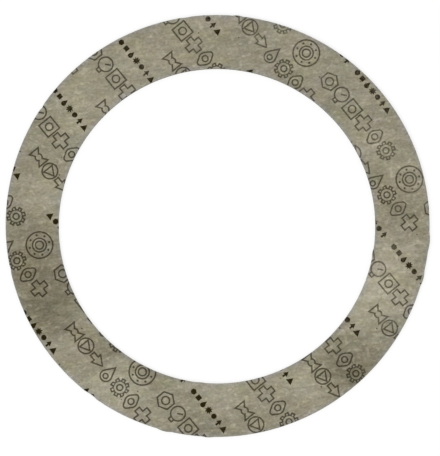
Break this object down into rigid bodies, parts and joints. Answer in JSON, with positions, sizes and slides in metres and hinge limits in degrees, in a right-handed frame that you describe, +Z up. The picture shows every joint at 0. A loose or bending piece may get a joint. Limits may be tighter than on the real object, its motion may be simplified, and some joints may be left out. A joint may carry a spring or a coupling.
{
  "type": "flange gasket",
  "caption": "Flat ring gasket for a pipe flange, cut by hand from compressed fibre sheet with a rubber binder, printed on one face.",
  "frame": {"origin": "on the underside of the ring, on the axis of its outer edge", "axes": "+Z up through the sheet's thickness, out of the printed face; +X and +Y lie in the sheet, with +X towards the highest rise on the outer edge"},
  "size_m": [0.1922, 0.1922, 0.002],
  "materials": {
    "fibre_sheet": "matte"
  },
  "bodies": {
    "root": {"gasket_ring": "fibre_sheet"}
  },
  "joints": []
}
